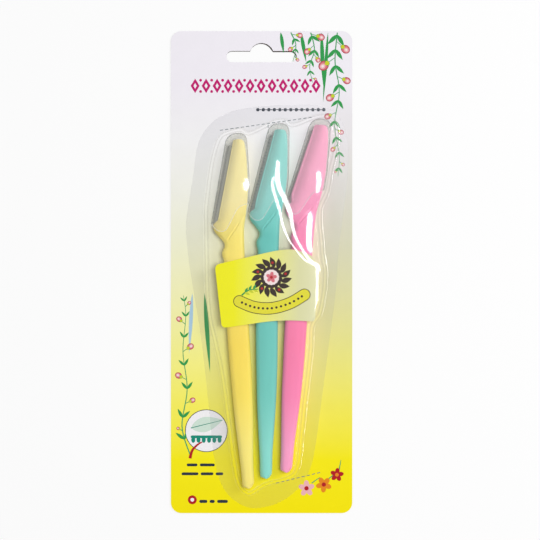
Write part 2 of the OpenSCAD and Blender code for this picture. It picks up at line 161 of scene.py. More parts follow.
def new_piece(name, points, faces, *materials):
    """A mesh of its own in the scene, from points in metres."""
    mesh = bpy.data.meshes.new(name)
    mesh.from_pydata(points, [], faces)
    for material in materials:
        mesh.materials.append(material)
    piece = bpy.data.objects.new(name, mesh)
    bpy.context.scene.collection.objects.link(piece)
    return piece


fade = [(i / (len(FADE_HEX) - 1), hex_code) for i, hex_code in enumerate(FADE_HEX)]
card = dress("hang_card", printed_board("printed_card_and_painted_shade", fade, "Y", CARD_LOW.y, FADE_TOP, 0.38, RIGHT_PAINTED_SHADE))

# The cut face of the hang slot: the die leaves a slanted wall of torn grey core. It is darkened and
# widened at the slot's upper right into a dark line, a painted shadow of the slot's edge, widest where
# its wall faces away from the direction that the light comes from.
CUT_WIDTH, CUT_LEAST = 0.55, 0.12
LIGHT_FROM = (0.64, 0.77)


def level_loops(piece, z_low, z_high):
    """The edge loops of the level faces of a piece between two heights, all in millimetres. Corners are
    matched in whole micrometres."""
    mesh = piece.data
    corners = [tuple(round(c * 1e6) for c in vertex.co[:2]) for vertex in mesh.vertices]
    uses = {}
    for face in mesh.polygons:
        if face.normal.z > 0.99 and z_low < face.center.z / MM < z_high:
            for a, b in face.edge_keys:
                edge = tuple(sorted((corners[a], corners[b])))
                uses[edge] = uses.get(edge, 0) + 1
    after = {}
    for (a, b), count in uses.items():
        if count == 1:
            after.setdefault(a, []).append(b)
            after.setdefault(b, []).append(a)
    loops = []
    while after:
        start = next(iter(after))
        loop, here = [start], start
        while after.get(here):
            there = after[here].pop()
            after[there].remove(here)
            here = there
            if here != start:
                loop.append(here)
        after = {corner: ends for corner, ends in after.items() if ends}
        loops.append([(x / 1e3, y / 1e3) for x, y in loop])
    return loops


def area(loop):
    return sum(a[0] * b[1] - b[0] * a[1] for a, b in zip(loop, loop[1:] + loop[:1])) / 2


def size_of(loop):
    return abs(area(loop))


def anticlockwise(loop):
    return loop if area(loop) > 0 else loop[::-1]


def leftward(start, end):
    """The unit vector to the left of the way from start to end."""
    dx, dy = end[0] - start[0], end[1] - start[1]
    size = math.hypot(dx, dy)
    return -dy / size, dx / size


core_and_painted_shadow, tree = new_material("torn_board_core_and_painted_shadow")
place = add(tree, "ShaderNodeTexCoord").outputs["Object"]
fibre = add(tree, "ShaderNodeTexNoise", {"Vector": place, "Scale": 1 / (0.3 * MM), "Detail": 3.0})
# Near-black fibre tones, far darker than the board's own core, as painted shadow.
fibre_tone = add(tree, "ShaderNodeValToRGB", {"Fac": fibre}, [(0.3, "#2E2822"), (0.7, "#5D544A")])
shader = add(tree, "ShaderNodeBsdfPrincipled", {"Base Color": fibre_tone, "Roughness": 0.9})
add(tree, "ShaderNodeOutputMaterial", {"Surface": shader})
slot_loop = anticlockwise(min(level_loops(card, CARD_FRONT / MM - 0.1, CARD_FRONT / MM + 0.1), key=size_of))
n = len(slot_loop)
cut_foot = []
for i, (x, y) in enumerate(slot_loop):
    inward = leftward(slot_loop[i - 1], slot_loop[(i + 1) % n])
    # Painted shadow: the strip widens on edges that face away from the light, more on the right half.
    slanted = max(0.0, -LIGHT_FROM[0] * inward[0] - LIGHT_FROM[1] * inward[1])
    right_half = min(1.0, max(0.3, 0.65 + x / 12))
    wide = (CUT_LEAST + (CUT_WIDTH - CUT_LEAST) * slanted * right_half) * (slanted > 0)
    cut_foot.append((x + inward[0] * wide, y + inward[1] * wide))
cut_points = [(x * MM, y * MM, CARD_FRONT - 0.01 * MM) for x, y in slot_loop]
cut_points += [(x * MM, y * MM, 0.02 * MM) for x, y in cut_foot]
cut_faces = [(i, (i + 1) % n, n + (i + 1) % n, n + i) for i in range(n)]
cut_face = new_piece("slot_cut_face_and_painted_shadow", cut_points, cut_faces, core_and_painted_shadow)
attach(cut_face, "card")

# The card's print, in spot inks a hair above the board: a border of lozenges, sprays of paired
# leaves and round berries, blossoms, a roundel with a leaf, short plain bars, and dashed
# lines at the blister's ends. Each ink is a thin flat mark on the varnished white.
LAYER = 0.012 * MM
INKS = {
    "magenta": "#C2106E", "navy": "#27313F", "grey": "#6F7C80", "leaf_green": "#2E9A4C",
    "stem_green": "#4FA36A", "lime": "#C9D22B", "rust": "#A8394A", "rose": "#D9707C", "blush": "#EDB4B6",
    "pearl": "#F6E4E2", "carmine": "#B3131D", "orange": "#E88A1A", "white": "#F4F2F5", "mint": "#CFE3D6",
    "sky": "#A9CBE0", "sea_green": "#118A74", "dark_brown": "#33241C", "insert_yellow": "#E6DE2E",
}
BORDER_X, BORDER_Y, BORDER_PITCH, LOZENGES = -28.4, 79.6, 4.7, 12
BEADS_X, BEADS_Y, BEAD_PITCH, BEADS = -1.6, 69.4, 2.35, 13
CARD_DASHES = [((-17.8, 60.6), (21.6, 66.2)), ((2.8, 63.0), (2.8, 58.0)), ((6.2, -90.2), (25.9, -85.4))]
DASH, DASH_GAP, DASH_W = 1.35, 0.9, 0.32
LEAF_TOP = 102.5
LONG_LEAVES = [(8.2, -82, 9, 1.5), (16.8, -80, 13, 1.6), (25.6, -88, 23, 1.7), (28.4, -94, 30, 1.4)]
BARS = [
    (-32, -82.4, 4.6), (-26.4, -82.4, 6.4), (-34.2, -86.2, 7.2), (-26, -86.2, 5.4), (-19.6, -86.2, 3.2),
]
ROUNDEL_X, ROUNDEL_Y, ROUNDEL_R = -23.6, -67.8, 9.1


def printing_ink(name):
    """Offset ink under varnish: even, with the board's soft sheen and a slight grain of its own."""
    material, tree = new_material("ink_" + name)
    place = add(tree, "ShaderNodeTexCoord").outputs["Object"]
    grain = add(tree, "ShaderNodeTexNoise", {"Vector": place, "Scale": 1 / (0.7 * MM), "Detail": 2.0})
    share = add(tree, "ShaderNodeMapRange", {"Value": grain, "To Min": 0.93, "To Max": 1.05})
    ink = add(tree, "ShaderNodeVectorMath", {0: colour(INKS[name])[:3], 1: share}, operation="MULTIPLY")
    shader = add(tree, "ShaderNodeBsdfPrincipled", {"Base Color": ink, "Roughness": 0.38})
    add(tree, "ShaderNodeOutputMaterial", {"Surface": shader})
    return material


ink_materials = {name: printing_ink(name) for name in INKS}


def turned(points, angle, centre):
    """The points turned by an angle in degrees and moved to a centre."""
    c, s = math.cos(math.radians(angle)), math.sin(math.radians(angle))
    return [(centre[0] + x * c - y * s, centre[1] + x * s + y * c) for x, y in points]


def out_from(centre, angle, distance):
    """The place at a distance from a centre, in the direction of an angle."""
    return turned([(distance, 0)], angle, centre)[0]


def oval(centre, half_long, half_wide, angle=0.0, count=28):
    ring = [math.tau * i / count for i in range(count)]
    return turned([(half_long * math.cos(t), half_wide * math.sin(t)) for t in ring], angle, centre)


def leaf(base, angle, length, width, count=12):
    """A pointed leaf that starts at its base."""
    steps = [i / count for i in range(count + 1)]
    edge = [(length * t, width / 2 * math.sin(math.pi * t ** 0.8)) for t in steps]
    return turned(edge + [(x, -y) for x, y in edge[-2:0:-1]], angle, base)


def curve(points, steps=8):
    """A smooth line through the points."""
    ends = [points[0]] + list(points) + [points[-1]]
    line = []
    for a, b, c, d in zip(ends, ends[1:], ends[2:], ends[3:]):
        for i in range(steps):
            t = i / steps
            line.append(tuple(
                (2 * q + (r - p) * t + (2 * p - 5 * q + 4 * r - s) * t ** 2
                 + (3 * q - p - 3 * r + s) * t ** 3) / 2
                for p, q, r, s in zip(a, b, c, d)
            ))
    return line + [tuple(points[-1])]


def stroke(ink, layer, line, start_width, end_width):
    """A ribbon along a line, from one width to the other, as a mark for each of its steps."""
    left, right = [], []
    for i, (x, y) in enumerate(line):
        nx, ny = leftward(line[max(i - 1, 0)], line[min(i + 1, len(line) - 1)])
        half = (start_width + (end_width - start_width) * i / (len(line) - 1)) / 2
        left.append((x + nx * half, y + ny * half))
        right.append((x - nx * half, y - ny * half))
    return [(ink, layer, [left[i], right[i], right[i + 1], left[i + 1]]) for i in range(len(line) - 1)]


def dashes(start, end):
    """The outlines of a dashed line."""
    pitch = DASH + DASH_GAP
    total = math.hypot(end[0] - start[0], end[1] - start[1])
    angle = math.degrees(math.atan2(end[1] - start[1], end[0] - start[0]))
    outline = [(0, -DASH_W / 2), (DASH, -DASH_W / 2), (DASH, DASH_W / 2), (0, DASH_W / 2)]
    count = int((total + DASH_GAP) / pitch)
    return [turned(outline, angle, out_from(start, angle, i * pitch)) for i in range(count)]


def bar(x, y, width, height):
    """A bar with round ends, from its left end."""
    r = height / 2
    turns = [math.pi * i / 8 for i in range(9)]
    right = [(width - r + r * math.sin(t), -r * math.cos(t)) for t in turns]
    left = [(r - r * math.sin(t), r * math.cos(t)) for t in turns]
    return turned(right + left, 0, (x, y))


def lozenge(x, y, half_w, half_h):
    return [(x - half_w, y), (x, y - half_h), (x + half_w, y), (x, y + half_h)]


def print_marks(name, marks, body, z):
    """One mesh of flat marks, each (ink, layer, outline in millimetres), over a surface at z. Marks of one
    layer lie at slightly different heights, so that none shares a plane with one that it overlaps."""
    inks = sorted({ink for ink, _, _ in marks})
    points, faces = [], []
    for number, (_, layer, outline) in enumerate(marks, 1):
        faces.append(range(len(points), len(points) + len(outline)))
        above = (layer + 1 + number % 24 / 30) * LAYER
        points += [(x * MM, y * MM, z + above) for x, y in outline]
    piece = new_piece(name, points, faces, *[ink_materials[ink] for ink in inks])
    for face, (ink, _, _) in zip(piece.data.polygons, marks):
        face.material_index = inks.index(ink)
        if face.normal.z < 0:
            face.flip()
    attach(piece, body)


def berry(centre, size, angle):
    """A round berry under its husk, as layers of ink from the rim to the light spot. The husk is at the
    angle's end."""
    top = out_from(centre, angle, size * 1.25)
    glint = out_from(centre, angle, -size * 0.2)
    return [
        ("leaf_green", 3, leaf(top, angle + 150, size * 0.9, size * 0.55)),
        ("leaf_green", 3, leaf(top, angle - 150, size * 0.9, size * 0.55)),
        ("lime", 4, leaf(top, angle + 180, size * 1.0, size * 0.85)),
        ("rust", 1, oval(centre, size, size * 0.88, angle)),
        ("rose", 2, oval(centre, size * 0.86, size * 0.74, angle)),
        ("blush", 3, oval(glint, size * 0.55, size * 0.48, angle)),
        ("pearl", 5, oval(glint, size * 0.28, size * 0.24, angle)),
    ]


def spray(points, leaves_at, berries_at, leaf_size):
    """A hanging stem with paired leaves that shrink to its tip, and berries on short stalks. Leaves and
    berries are placed by their share of the stem. A berry also has its side and its size."""
    line = curve(points)

    def joint(share):
        k = int(share * (len(line) - 2))
        (x0, y0), (x1, y1) = line[k], line[k + 1]
        return line[k], math.degrees(math.atan2(y1 - y0, x1 - x0))

    marks = stroke("stem_green", 0, line, 0.55, 0.2)
    for share in leaves_at:
        base, angle = joint(share)
        length = leaf_size * (1 - 0.55 * share)
        for side in (-1, 1):
            marks.append(("leaf_green", 1, leaf(base, angle + side * 38, length, length * 0.3)))
    for share, side, size in berries_at:
        base, angle = joint(share)
        angle += side * 55
        end = out_from(base, angle, size * 2.6)
        marks += stroke("stem_green", 0, [base, end], 0.3, 0.3)
        marks += berry(end, size, angle + 180)
    return marks


def blossom(centre, size, ink, heart, angle):
    """Five petals round a heart."""
    marks = []
    for i in range(5):
        petal = angle + 72 * i
        marks.append((ink, 2, oval(out_from(centre, petal, size * 0.62), size * 0.5, size * 0.36, petal)))
    return marks + [(heart, 3, oval(centre, size * 0.3, size * 0.3))]


card_marks = []
for i in range(LOZENGES):
    x = BORDER_X + BORDER_PITCH * i
    card_marks.append(("magenta", 1, lozenge(x, BORDER_Y, 1.9, 3.1)))
    card_marks.append(("white", 2, lozenge(x, BORDER_Y, 0.7, 1.2)))
    if i < LOZENGES - 1:
        card_marks.append(("magenta", 1, oval((x + BORDER_PITCH / 2, BORDER_Y + 2.4), 0.6, 0.6)))
        card_marks.append(("magenta", 1, oval((x + BORDER_PITCH / 2, BORDER_Y - 2.4), 0.6, 0.6)))
for i in range(BEADS):
    x = BEADS_X + BEAD_PITCH * i
    card_marks.append(("navy", 1, oval((x, BEADS_Y), 0.75, 0.75)))
    if i < BEADS - 1:
        card_marks.append(("navy", 1, bar(x + 0.8, BEADS_Y, 0.75, 0.4)))
for start, end in CARD_DASHES:
    card_marks += [("grey", 1, dash) for dash in dashes(start, end)]
card_marks += spray(
    [(12.5, 102.4), (14.5, 98), (14.4, 94), (13.4, 90)],
    [0.25, 0.6],
    [(0.1, 1, 1.3), (0.45, -1, 1.1), (0.85, 1, 0.8)],
    3.6,
)
card_marks += spray(
    [(21, 102.4), (22.6, 95), (20.6, 88), (21.8, 81)],
    [0.12, 0.36, 0.58, 0.8],
    [(0.06, 1, 1.7), (0.27, -1, 1.5), (0.47, 1, 1.2), (0.68, -1, 1.0), (0.92, 1, 0.7)],
    4.8,
)
card_marks += spray(
    [(32.4, 102.4), (31.4, 90), (33.2, 77), (31.2, 63), (33.2, 50), (32.6, 41)],
    [0.04, 0.14, 0.25, 0.36, 0.48, 0.6, 0.71, 0.82, 0.93],
    [(0.09, 1, 2.0), (0.2, -1, 2.3), (0.31, 1, 1.7), (0.42, -1, 1.8), (0.54, -1, 1.5), (0.65, 1, 1.2),
     (0.76, -1, 1.1), (0.88, 1, 0.8), (0.97, -1, 0.6)],
    6.0,
)
for x, angle, length, width in LONG_LEAVES:
    card_marks.append(("leaf_green", 0, leaf((x, LEAF_TOP), angle, length, width)))
card_marks += spray(
    [(-30.4, -78.5), (-34.0, -66), (-31.8, -50), (-33.6, -34), (-32.4, -19), (-33.4, -10)],
    [0.14, 0.28, 0.42, 0.56, 0.7, 0.84, 0.96],
    [(0.2, 1, 0.8), (0.34, -1, 1.3), (0.48, 1, 1.5), (0.62, -1, 1.5), (0.77, 1, 1.3), (0.9, -1, 0.9)],
    5.2,
)
card_marks.append(("sky", 0, leaf((-29.6, -9), -93, 26, 1.6)))
card_marks.append(("leaf_green", 0, leaf((-24.4, -9), -86, 34, 1.9)))
card_marks += blossom((19.2, -92.4), 3.1, "blush", "carmine", 20)
card_marks += blossom((26.6, -90.8), 3.0, "orange", "carmine", 50)
card_marks += blossom((32.2, -86.6), 2.6, "carmine", "orange", 10)
for base, angle in [((21.4, -90.2), 35), ((28.6, -88.4), 40), ((33.2, -84.4), 80)]:
    card_marks += stroke("stem_green", 1, [base, out_from(base, angle, 4.2)], 0.5, 0.25)
card_marks.append(("navy", 1, oval((ROUNDEL_X, ROUNDEL_Y), ROUNDEL_R, ROUNDEL_R, count=64)))
card_marks.append(("white", 2, oval((ROUNDEL_X, ROUNDEL_Y), ROUNDEL_R - 0.3, ROUNDEL_R - 0.3, count=64)))
leaf_base = (ROUNDEL_X - 6.6, ROUNDEL_Y + 1.2)
card_marks.append(("mint", 3, leaf(leaf_base, 14, 14.2, 6.4)))
card_marks += stroke("sea_green", 4, [leaf_base, (ROUNDEL_X + 6.8, ROUNDEL_Y + 4.5)], 0.35, 0.2)
for i in range(6):
    card_marks.append(("sea_green", 3, oval((ROUNDEL_X - 5.6 + 2.25 * i, ROUNDEL_Y - 3.9), 0.85, 1.25)))
card_marks.append(("sea_green", 3, bar(ROUNDEL_X - 6.7, ROUNDEL_Y - 2.6, 13.4, 1.2)))
flourish = curve([(-30.6, -79.6), (-29.6, -76.2), (-27.4, -73.8), (-25.4, -72.6)])
card_marks += stroke("carmine", 5, flourish, 1.3, 0.5)
for x, y, width in BARS:
    card_marks.append(("navy", 1, bar(x, y, width, 1.2)))
card_marks.append(("carmine", 1, oval((-29.6, -97.3), 1.9, 1.9)))
card_marks.append(("white", 2, oval((-29.6, -97.3), 0.8, 0.8)))
for x, width in [(-26.6, 3.4), (-22.2, 2.2), (-19.0, 4.6)]:
    card_marks.append(("navy", 1, bar(x, -98, width, 1.3)))
print_marks("card_print", card_marks, "card", CARD_FRONT)

# The handles: each one injection moulding in satin polypropylene, with a tapered grip, two finger
# notches over a beak, a slanted step down to the thin head, and a wide bevel on the head beside the
# blade. The colour runs through the plastic, and its rounded edges catch the light.
RAZORS = {
    "yellow": {"tip": (-5.4, -92.1), "lean": -4.004, "lap": 0.0,
               "tones": ["#FFEC7C", "#FFE560", "#FFE05A", "#FBE676", "#FFEE9E"]},
    "teal": {"tip": (2.0, -87.9), "lean": 0.1, "lap": 0.35,
             "tones": ["#8CDFD1", "#74CDC0", "#6FC9BD", "#6AC6BC", "#86D8CF"]},
    "pink": {"tip": (10.5, -85.3), "lean": 3.654, "lap": 1.05,
             "tones": ["#FFA2CA", "#FF88B6", "#FF82AE", "#FF8FBA", "#FFA2C6"]},
}
TONE_PLACES = (0.0, 0.2, 0.4, 0.82, 0.96)
TONES_LOW, TONES_HIGH = -75 * MM, 35 * MM
BODY_L, HEEL_U, HEEL_V, BLADE_LEAN = 148.6, -5.18, 114.8, 14.9
GRIP_T, HEAD_T, EDGE_R, EDGE_WIDE, CROWN_R = 5.6, 3.2, 1.3, 1.45, 0.6
TIP_L, TIP_SHARE = 20, 0.55
RAZOR_Z = 3.6
# Edges are (v, u): v runs along a razor and u across it, in millimetres from the tip of its grip.
LEFT_EDGE = [
    (0, -0.4), (0.45, -1.6), (1.6, -2.6), (8.5, -2.8), (20, -3.4), (32.3, -4.0), (41, -4.2), (50.2, -4.4),
    (64, -4.6), (80, -4.3), (90, -4.05), (96, -3.8), (97.7, -3.95), (99.9, -4.4), (101.4, -4.2),
    (102.6, -3.5), (103.6, -3.12), (105.1, -3.3), (106.7, -4.4), (108, -5.4), (109.1, -6.35),
    (110.4, -7.05), (112.1, -7.35), (113.5, -6.9), (114.8, -5.18),
]
RIGHT_EDGE = [
    (0, 0.5), (0.45, 1.25), (1.6, 2.0), (3, 2.4), (11.4, 2.65), (20, 3.25), (32.3, 4.1), (41, 4.45),
    (50.2, 4.7), (64, 4.8), (80, 5.0), (90, 5.05), (97.7, 5.15), (108, 5.5), (112.2, 6.0), (114.8, 6.58),
    (118.5, 7.28), (121.9, 7.95), (127.2, 8.55), (130, 8.7), (133.4, 8.8), (139.4, 8.87), (142.9, 8.78),
    (144.4, 8.7), (145.3, 8.62), (146.7, 8.47), (147.86, 8.0), (148.45, 7.35), (148.6, 6.6),
]
STEP_FOOT, STEP_SLANT, RAMP_L = (-2.0, 105.4), 52.0, 5.5
CREASE_DEPTH, CREASE_W, CREASE_FROM, CREASE_TO = 0.5, 0.3, -1.9, 4.5
CROWNED, BEVEL_DROP, BEVEL_W, HEAD_LEAST = 0.7, 0.7, 4.5, 0.42
STRIPS = 60
END_ROWS, NOTCH_ROWS, GRIP_ROWS = 0.15, 0.22, 1.2

left_line = curve(LEFT_EDGE, 4)
right_line = curve(RIGHT_EDGE, 4)
COLUMNS = [math.sin(math.pi / 2 * (2 * i / STRIPS - 1)) for i in range(STRIPS + 1)]


def smoothstep(x):
    x = min(1.0, max(0.0, x))
    return x * x * (3 - 2 * x)


def at(table, v):
    """The value of a table of (place, value) at v."""
    for (v0, a), (v1, b) in zip(table, table[1:]):
        if v <= v1:
            return a + (b - a) * max(0.0, v - v0) / (v1 - v0)
    return table[-1][1]


def left_u(v, lap):
    """The left edge: the grip's own outline, then the blade's line, which the head laps over."""
    if v < HEEL_V:
        return at(left_line, v)
    over = max(0.0, v - BODY_L + CROWN_R)
    corner = CROWN_R - math.sqrt(max(0.0, CROWN_R ** 2 - over ** 2))
    lap *= smoothstep((v - HEEL_V) / 4)
    return HEEL_U + (v - HEEL_V) * math.tan(math.radians(BLADE_LEAN)) + corner - lap


def handle_half(u, v):
    """Half the handle's thickness before its edges are rounded."""
    slant = math.radians(STEP_SLANT)
    past = -(u - STEP_FOOT[0]) * math.sin(slant) + (v - STEP_FOOT[1]) * math.cos(slant)
    half = GRIP_T / 2 * min(1.0, TIP_SHARE + (1 - TIP_SHARE) * (v / TIP_L) ** 0.4)
    half += (HEAD_T / 2 - half) * (1 - (1 - min(1.0, max(0.0, past / RAMP_L))) ** 2)
    fade_in = smoothstep((u - CREASE_FROM) / 0.8) * smoothstep((CREASE_TO - u) / 1.4)
    return half - CREASE_DEPTH * fade_in * math.exp(-((past - 0.1) / CREASE_W) ** 2)


def front_z(u, v, t, thick, low):
    """The front's height: crowned, with rounded edges, and on the head a wide bevel along the blade."""
    lean = math.radians(BLADE_LEAN)
    from_blade = (u - HEEL_U) * math.cos(lean) - (v - HEEL_V) * math.sin(lean)
    bevel = min(1.0, max(0.0, 1 - from_blade / BEVEL_W)) ** 2
    on_head = smoothstep((v - HEEL_V + 3) / 5)
    grip = low - CROWNED * t * t * min(1.0, low / 1.3)
    head = min(low, max(HEAD_LEAST, thick - CROWNED * t * t - BEVEL_DROP * bevel))
    return grip + (head - grip) * on_head


def handle_section(v, lap):
    """The (u, z) outline across a handle at v: its front from left to right, then its back."""
    left = left_u(v, lap)
    right = max(at(right_line, v), left + 0.3)
    half_w, middle = (right - left) / 2, (right + left) / 2
    front, back = [], []
    for t in COLUMNS:
        u = middle + half_w * t
        thick = handle_half(u, v)
        radius = min(EDGE_R, 0.85 * thick)
        wide = min(EDGE_WIDE * radius, 0.92 * half_w)
        inside = max(0.0, 1 - half_w * (1 - abs(t)) / wide)
        low = thick - radius + radius * math.sqrt(max(0.0, 1 - inside ** 2))
        front.append((u, front_z(u, v, t, thick, low)))
        back.append((u, -low))
    return front + back[::-1]


def handle_rows():
    """Places along the handle: close together where its shape changes fast."""
    rows, v = [], 0.0
    while v < BODY_L:
        rows.append(v)
        v += END_ROWS if v < 2 or v > BODY_L - 2.2 else (NOTCH_ROWS if 95 < v < 122 else GRIP_ROWS)
    return rows + [BODY_L]


def in_pack(razor, u, v, z):
    """A point in the razor's own frame, as a place in the pack."""
    tip, lean = RAZORS[razor]["tip"], math.radians(RAZORS[razor]["lean"])
    return (
        (tip[0] + u * math.cos(lean) + v * math.sin(lean)) * MM,
        (tip[1] - u * math.sin(lean) + v * math.cos(lean)) * MM,
        (RAZOR_Z + z) * MM,
    )


def loft(name, rings, material, body):
    """A closed skin through rings of points, with smooth shading."""
    n = len(rings[0])
    points = [p for ring in rings for p in ring]
    faces = [
        (k * n + i, k * n + (i + 1) % n, (k + 1) * n + (i + 1) % n, (k + 1) * n + i)
        for k in range(len(rings) - 1) for i in range(n)
    ]
    faces += [tuple(range(n))[::-1], tuple(range(len(points) - n, len(points)))]
    piece = new_piece(name, points, faces, material)
    piece.data.shade_smooth()
    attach(piece, body)
    return piece


def beside_blade(tree, razor):
    """The place turned upright with a razor's blade, in metres: X is nought at the head's blade side."""
    place = add(tree, "ShaderNodeTexCoord").outputs["Object"]
    angle = math.radians(RAZORS[razor]["lean"] + BLADE_LEAN)
    heel = in_pack(razor, HEEL_U, HEEL_V, 0)
    offset = heel[1] * math.sin(angle) - heel[0] * math.cos(angle)
    sockets = {"Vector": place, "Location": (offset, 0, 0), "Rotation": (0, 0, angle)}
    return add(tree, "ShaderNodeMapping", sockets)


def satin_polypropylene(razor, tones):
    """Moulded polypropylene from a fine-spark-eroded tool: a satin sheen, faint flow marks along the
    part and a grain too fine to see, drawn here at 0.4 mm so that it breaks the highlights a little.
    The thick grip looks deeper in colour than its thin tip and the head, and the thin edge of the head
    beside the blade is darkened by a painted shade, deepest at the blade."""
    material, tree = new_material(razor + "_satin_polypropylene")
    place = add(tree, "ShaderNodeTexCoord").outputs["Object"]
    stretched = add(tree, "ShaderNodeMapping", {"Vector": place, "Scale": (1.0, 0.15, 1.0)})
    flow = add(tree, "ShaderNodeTexNoise", {"Vector": stretched, "Scale": 1 / (2.5 * MM), "Detail": 3.0})
    tone = add(tree, "ShaderNodeMapRange", {"Value": flow, "To Min": 0.95, "To Max": 1.05})
    up = add(tree, "ShaderNodeSeparateXYZ", {0: place}).outputs["Y"]
    share = add(tree, "ShaderNodeMapRange", {"Value": up, "From Min": TONES_LOW, "From Max": TONES_HIGH})
    pigment = add(tree, "ShaderNodeValToRGB", {"Fac": share}, list(zip(TONE_PLACES, tones)))
    across = add(tree, "ShaderNodeSeparateXYZ", {0: beside_blade(tree, razor)}).outputs["X"]
    # Painted shade on the head, darkest at the blade.
    sockets = {"Value": across, "From Max": 4.6 * MM, "To Min": 0.76, "To Max": 1.0}
    thin = add(tree, "ShaderNodeMapRange", sockets, interpolation_type="SMOOTHSTEP")
    tone = add(tree, "ShaderNodeMath", {0: tone, 1: thin}, operation="MULTIPLY")
    base = add(tree, "ShaderNodeVectorMath", {0: pigment, 1: tone}, operation="MULTIPLY")
    grain = add(tree, "ShaderNodeTexNoise", {"Vector": place, "Scale": 1 / (0.4 * MM), "Detail": 2.0})
    bump = add(tree, "ShaderNodeBump", {"Height": grain, "Strength": 0.15, "Distance": 0.02 * MM})
    rough = add(tree, "ShaderNodeMapRange", {"Value": grain, "To Min": 0.26, "To Max": 0.36})
    shader = add(tree, "ShaderNodeBsdfPrincipled", {
        "Base Color": base, "Roughness": rough, "IOR": 1.49, "Normal": bump,
        "Subsurface Weight": 0.08, "Subsurface Radius": (1.0, 0.8, 0.6), "Subsurface Scale": 0.8 * MM,
    })
    add(tree, "ShaderNodeOutputMaterial", {"Surface": shader})
    return material


for razor, facts in RAZORS.items():
    rings = [[in_pack(razor, u, v, z) for u, z in handle_section(v, facts["lap"])] for v in handle_rows()]
    plastic = satin_polypropylene(razor, facts["tones"])
    handle = loft(razor + "_moulded_handle", rings, plastic, razor + "_razor")
    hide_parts(razor + "_handle")

# The blades: thin hardened stainless strip, ground to an edge on both faces, pressed into the slot
# in each head. Grinding runs along the strip as fine lines. The darker band at the edge is painted
# shade, and each blade is tinted with its head's colour as a painted reflection.
STRIP_W = 1.85
BLADE_EDGE_SHADE_HEX = "#9A9D9A"
BLADE_REFLECTED_HEAD_HEX = {"yellow": "#D6D7CE", "teal": "#B8C4C0", "pink": "#BCA9AE"}


def ground_steel(name, razor, bands, rough):
    """Stainless steel worked along its edge: bright, with fine lines, and lighter and darker bands of
    painted shade and highlight. bands gives their places across the strip, from its edge to the head,
    and the head's colour in them is a painted reflection."""
    material, tree = new_material(name)
    along_edge = beside_blade(tree, razor)
    across = add(tree, "ShaderNodeSeparateXYZ", {0: along_edge}).outputs["X"]
    share = add(tree, "ShaderNodeMapRange", {"Value": across, "From Min": -STRIP_W * MM, "From Max": 0.0})
    lined = add(tree, "ShaderNodeMapping", {"Vector": along_edge, "Scale": (1.0, 0.04, 1.0)})
    lines = add(tree, "ShaderNodeTexNoise", {"Vector": lined, "Scale": 1 / (0.35 * MM), "Detail": 3.0})
    shade = add(tree, "ShaderNodeMapRange", {"Value": lines, "To Min": 0.88, "To Max": 1.1})
    # Painted shade, highlight and reflected colour across the strip.
    painted_band = add(tree, "ShaderNodeValToRGB", {"Fac": share}, bands)
    base = add(tree, "ShaderNodeVectorMath", {0: painted_band, 1: shade}, operation="MULTIPLY")
    bump = add(tree, "ShaderNodeBump", {"Height": lines, "Strength": 0.1, "Distance": 0.01 * MM})
    sockets = {"Base Color": base, "Metallic": 1.0, "Roughness": rough, "Normal": bump}
    add(tree, "ShaderNodeOutputMaterial", {"Surface": add(tree, "ShaderNodeBsdfPrincipled", sockets)})
    return material


for razor, hex_code in BLADE_REFLECTED_HEAD_HEX.items():
    bands = [(0.0, BLADE_EDGE_SHADE_HEX), (0.3, hex_code), (1.0, hex_code)]
    dress(razor + "_blade", ground_steel(razor + "_ground_stainless", razor, bands, 0.28))

# The guards: a comb of thin stamped stainless sheet, folded over the blade's edge, so that only
# the edge between its teeth can cut. It is duller than the blade, from the press. Its bands are painted
# light: a painted shade outside the fold, a painted highlight streak farther in, and its razor's colour
# as a painted reflection.
BAND_PLACES = (0.0, 0.18, 0.4, 0.62, 0.78, 1.0)
GUARD_PAINTED_LIGHT_HEX = {
    "yellow": ["#8D8F8B", "#B1B3AE", "#C6C7C0", "#E5E6DA", "#C4C5BB", "#B5B3A3"],
    "teal": ["#74807B", "#94A19C", "#A2AEA8", "#B7C4BC", "#9EACA7", "#8DA49F"],
    "pink": ["#8D7E83", "#AB9298", "#C4A8AF", "#D6BAC0", "#C09DA8", "#BA8C9A"],
}
for razor, hex_codes in GUARD_PAINTED_LIGHT_HEX.items():
    bands = list(zip(BAND_PLACES, hex_codes))
    dress(razor + "_guard", ground_steel(razor + "_pressed_stainless", razor, bands, 0.6))

# The caps: clear polystyrene sheaths, a little cloudy from the mould, pushed over each head; their
# faces next to the card are dimmed grey as painted shade. The S-shaped mouth is a bare moulded edge,
# and the line of light that it catches is a painted highlight.
MOUTH = [
    (-7.7, 113.0), (-6.5, 111.2), (-5.2, 110.2), (-3.5, 109.9), (-1.9, 110.6), (-0.7, 112.3), (0.7, 114.6),
    (2.1, 117.0), (3.7, 119.3), (5.6, 120.3), (7.9, 120.9),
]
RIM_R, RIM_Z = 0.13, 2.28
ROUNDED_RIM = [(0.06, "#000000"), (0.2, "#FFFFFF"), (0.88, "#FFFFFF"), (0.995, "#000000")]
SLOPES = [(0.2, "#FFFFFF"), (0.8, "#000000")]


